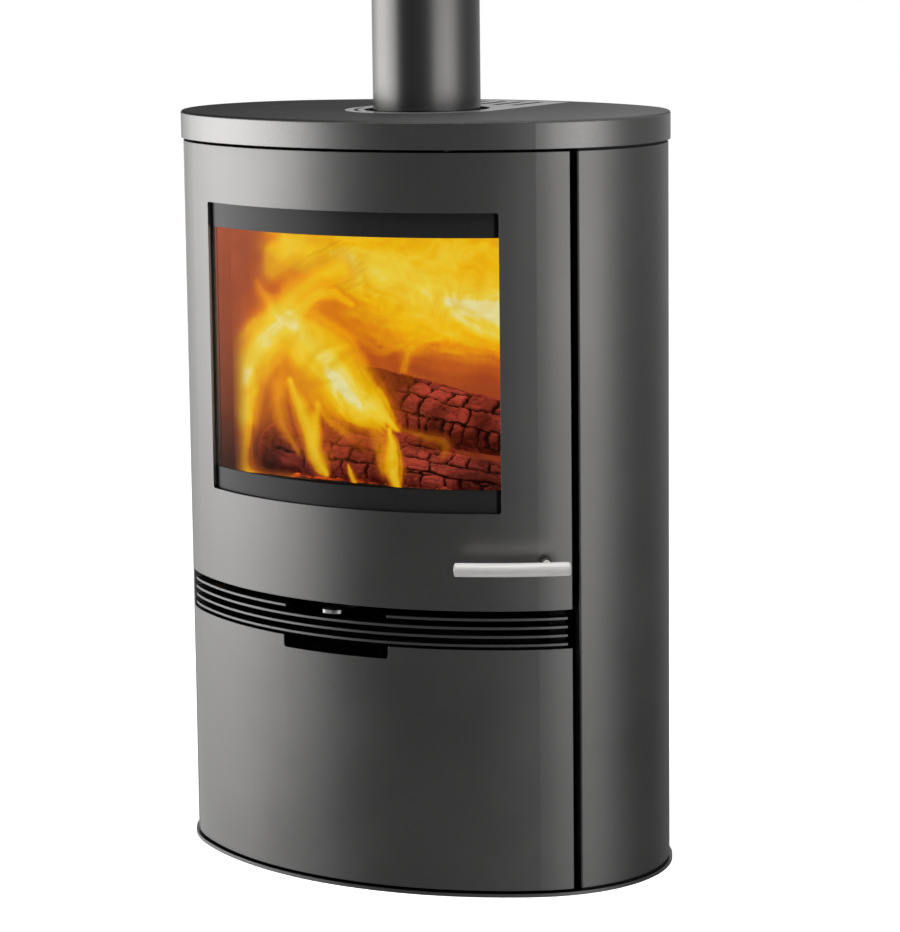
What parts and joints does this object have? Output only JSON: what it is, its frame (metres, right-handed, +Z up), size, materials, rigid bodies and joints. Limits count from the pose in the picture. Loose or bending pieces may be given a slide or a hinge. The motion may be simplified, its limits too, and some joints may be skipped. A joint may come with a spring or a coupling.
{
  "type": "wood stove",
  "caption": "Free-standing oval wood stove with a curved glazed fire door that swings open, a turning latch handle, an air lever, a storage drawer and a flue outlet on top.",
  "frame": {"origin": "on the floor, below the middle of the oval casing", "axes": "+Z up, -Y out of the fire door, +X to the right as seen from the front"},
  "size_m": [0.7278, 0.5242, 1.225],
  "materials": {
    "casing_paint": "satin graphite-grey stove paint with a fine metallic grain",
    "top_casting": "fine cast grain under graphite-grey stove paint",
    "flue_paint": "matt dark grey stove paint",
    "firebox_steel": "matt black heat-proof paint",
    "zinc_steel": "zinc-coated sheet and fasteners",
    "handle_steel": "brushed stainless steel",
    "boss_paint": "dark grey satin",
    "tab_chrome": "polished plating",
    "pane": "heat-proof glass with a dark printed band along the top and bottom",
    "firebrick": "rough pale firebrick, sooted",
    "fire_iron": "rough black cast iron",
    "rope": "braided dark grey fibre rope"
  },
  "bodies": {
    "stove": {"left_side_panel": "casing_paint", "right_side_panel": "casing_paint", "back_panel": "casing_paint", "base_plate": "casing_paint", "louvre_bars": "casing_paint", "top_plate": "top_casting", "top_grille": "top_casting", "flue_pipe": "flue_paint", "flue_collar": "flue_paint", "firebox_front": "firebox_steel", "firebox_left": "firebox_steel", "firebox_right": "firebox_steel", "firebox_back": "firebox_steel", "firebox_floor": "firebox_steel", "firebox_roof": "firebox_steel", "deck_plate": "firebox_steel", "left_support": "firebox_steel", "right_support": "firebox_steel", "rear_support": "firebox_steel", "plinth_ring": "firebox_steel", "top_ring": "firebox_steel", "louvre_brackets": "firebox_steel", "hinge_brackets": "firebox_steel", "latch_keeper": "firebox_steel", "levelling_screws": "zinc_steel", "levelling_nuts": "zinc_steel", "panel_screws": "zinc_steel", "flue_collar_bolts": "zinc_steel", "runner_rails": "zinc_steel", "ash_pan": "zinc_steel", "lever_pin": "zinc_steel", "hinge_pins": "zinc_steel", "firebrick_left": "firebrick", "firebrick_right": "firebrick", "firebrick_back": "firebrick", "firebrick_floor": "firebrick", "baffle": "firebrick", "grate": "fire_iron", "log_guard": "fire_iron"},
    "door": {"door_panel": "casing_paint", "door_frame": "firebox_steel", "glass_gasket": "rope", "door_glass": "pane", "glass_retainers": "zinc_steel", "retainer_screws": "zinc_steel", "door_seal": "rope", "hinge_knuckles": "firebox_steel", "handle_boss": "boss_paint"},
    "handle": {"handle_bar": "handle_steel", "handle_shaft": "handle_steel", "latch_cam": "boss_paint"},
    "lever": {"air_lever": "zinc_steel", "lever_tab": "tab_chrome", "valve_plate": "zinc_steel"},
    "drawer": {"drawer_front": "casing_paint", "drawer_tray": "zinc_steel", "drawer_rails": "zinc_steel"}
  },
  "joints": [
    {"name": "door_hinge", "type": "hinge", "parent": "stove", "child": "door", "pos_m": [-0.29573, -0.13367, 0.7], "axis": [0, 0, -1], "range_deg": [0, 100]},
    {"name": "handle_turn", "type": "hinge", "parent": "door", "child": "handle", "pos_m": [0.281, -0.15925, 0.4605], "axis": [-0.605, 0.7962, 0], "range_deg": [-30, 0]},
    {"name": "air_lever_turn", "type": "hinge", "parent": "stove", "child": "lever", "pos_m": [0, -0.02, 0.3835], "axis": [0, 0, 1], "range_deg": [-13, 13]},
    {"name": "drawer_slide", "type": "slide", "parent": "stove", "child": "drawer", "axis": [0, -1, 0], "range_m": [0, 0.22]}
  ]
}
